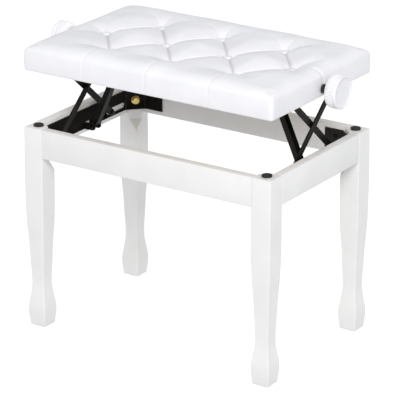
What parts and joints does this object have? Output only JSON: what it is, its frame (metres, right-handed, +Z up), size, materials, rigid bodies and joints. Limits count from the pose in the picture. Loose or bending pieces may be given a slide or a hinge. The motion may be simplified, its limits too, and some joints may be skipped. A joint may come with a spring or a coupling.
{
  "type": "piano bench",
  "caption": "Height-adjustable piano bench: square waisted legs, wooden frame, tufted padded seat, scissor arms, channel struts and a threaded rod turned by side knobs.",
  "frame": {"origin": "middle of the footprint, on the floor", "axes": "+X along the bench from knob to knob, +Y towards its back, +Z up"},
  "size_m": [0.65, 0.36, 0.585],
  "materials": {
    "white_lacquer": "satin white lacquer over hardwood",
    "white_leather": "fine-grained white synthetic leather",
    "foam": "open-cell upholstery foam",
    "plywood": "bare plywood",
    "black_steel": "black powder coat on pressed steel",
    "yellow_zinc": "yellow-passivated zinc plating",
    "bright_steel": "bright zinc-plated steel",
    "black_rubber": "moulded black rubber",
    "black_plastic": "moulded black nylon",
    "white_plastic": "moulded white ABS"
  },
  "bodies": {
    "frame": {"leg_back_left": "white_lacquer", "leg_front_left": "white_lacquer", "leg_front_right": "white_lacquer", "leg_back_right": "white_lacquer", "apron_back": "white_lacquer", "apron_left": "white_lacquer", "apron_front": "white_lacquer", "apron_right": "white_lacquer", "glide_back_left": "black_plastic", "glide_front_left": "black_plastic", "glide_front_right": "black_plastic", "glide_back_right": "black_plastic", "pad_back_left": "black_rubber", "pad_front_left": "black_rubber", "pad_front_right": "black_rubber", "pad_back_right": "black_rubber", "bracket_left": "black_steel", "bracket_right": "black_steel", "corner_bolt_back_left": "yellow_zinc", "corner_bolt_front_left": "yellow_zinc", "corner_bolt_front_right": "yellow_zinc", "corner_bolt_back_right": "yellow_zinc", "strut_foot_pin_left": "black_steel", "strut_foot_pin_right": "black_steel", "lower_fixed_pin_left": "black_steel", "lower_fixed_pin_right": "black_steel"},
    "seat": {"seat_board": "plywood", "seat_skirt_front": "plywood", "seat_skirt_back": "plywood", "seat_skirt_left": "plywood", "seat_skirt_right": "plywood", "seat_foam": "foam", "seat_cover": "white_leather", "seat_rail_left": "black_steel", "seat_rail_right": "black_steel", "rod_bushing_left": "black_plastic", "rod_bushing_right": "black_plastic", "upper_fixed_pin_left": "black_steel", "upper_fixed_pin_right": "black_steel"},
    "knob_shaft": {"threaded_rod": "bright_steel", "knob_left": "white_plastic", "knob_right": "white_plastic"},
    "nut_left": {"rod_nut_left": "black_steel"},
    "nut_right": {"rod_nut_right": "black_steel"},
    "strut_left": {"strut_left": "black_steel"},
    "strut_right": {"strut_right": "black_steel"},
    "inner_arm_left": {"inner_arm_left": "black_steel", "upper_sliding_pin_left": "black_steel", "scissor_rivet_left": "black_steel"},
    "inner_arm_right": {"inner_arm_right": "black_steel", "upper_sliding_pin_right": "black_steel", "scissor_rivet_right": "black_steel"},
    "outer_arm_left": {"outer_arm_left": "black_steel", "lower_sliding_pin_left": "black_steel"},
    "outer_arm_right": {"outer_arm_right": "black_steel", "lower_sliding_pin_right": "black_steel"}
  },
  "joints": [
    {"name": "seat_lift", "type": "slide", "parent": "frame", "child": "seat", "axis": [0, 0, 1], "range_m": [-0.11, 0]},
    {"name": "knob_turn", "type": "hinge", "parent": "seat", "child": "knob_shaft", "pos_m": [0, 0, 0.545], "axis": [1, 0, 0], "range_deg": [-6400, 0]},
    {"name": "nut_travel_left", "type": "slide", "parent": "seat", "child": "nut_left", "axis": [1, 0, 0], "range_m": [0, 0.1015]},
    {"name": "nut_travel_right", "type": "slide", "parent": "seat", "child": "nut_right", "axis": [1, 0, 0], "range_m": [-0.1015, 0]},
    {"name": "strut_swing_left", "type": "hinge", "parent": "nut_left", "child": "strut_left", "pos_m": [-0.165, 0, 0.545], "axis": [0, 1, 0], "range_deg": [0, 48]},
    {"name": "strut_swing_right", "type": "hinge", "parent": "nut_right", "child": "strut_right", "pos_m": [0.165, 0, 0.545], "axis": [0, 1, 0], "range_deg": [-48, 0]},
    {"name": "inner_arm_fold_left", "type": "hinge", "parent": "frame", "child": "inner_arm_left", "pos_m": [-0.243, -0.113, 0.381], "axis": [1, 0, 0], "range_deg": [-30, 0]},
    {"name": "inner_arm_fold_right", "type": "hinge", "parent": "frame", "child": "inner_arm_right", "pos_m": [0.243, 0.113, 0.381], "axis": [1, 0, 0], "range_deg": [0, 30]},
    {"name": "outer_arm_fold_left", "type": "hinge", "parent": "seat", "child": "outer_arm_left", "pos_m": [-0.2494, -0.113, 0.541], "axis": [1, 0, 0], "range_deg": [0, 30]},
    {"name": "outer_arm_fold_right", "type": "hinge", "parent": "seat", "child": "outer_arm_right", "pos_m": [0.2494, 0.113, 0.541], "axis": [1, 0, 0], "range_deg": [-30, 0]}
  ],
  "couplings": [
    {"joint": "knob_turn", "follows": "seat_lift", "rad_per_m": 960.63},
    {"joint": "nut_travel_left", "follows": "seat_lift", "ratio": -0.91733},
    {"joint": "nut_travel_right", "follows": "seat_lift", "ratio": 0.91733},
    {"joint": "strut_swing_left", "follows": "seat_lift", "rad_per_m": -7.4593},
    {"joint": "strut_swing_right", "follows": "seat_lift", "rad_per_m": 7.4593},
    {"joint": "inner_arm_fold_left", "follows": "seat_lift", "rad_per_m": 4.6667},
    {"joint": "inner_arm_fold_right", "follows": "seat_lift", "rad_per_m": -4.6667},
    {"joint": "outer_arm_fold_left", "follows": "seat_lift", "rad_per_m": -4.6667},
    {"joint": "outer_arm_fold_right", "follows": "seat_lift", "rad_per_m": 4.6667}
  ]
}
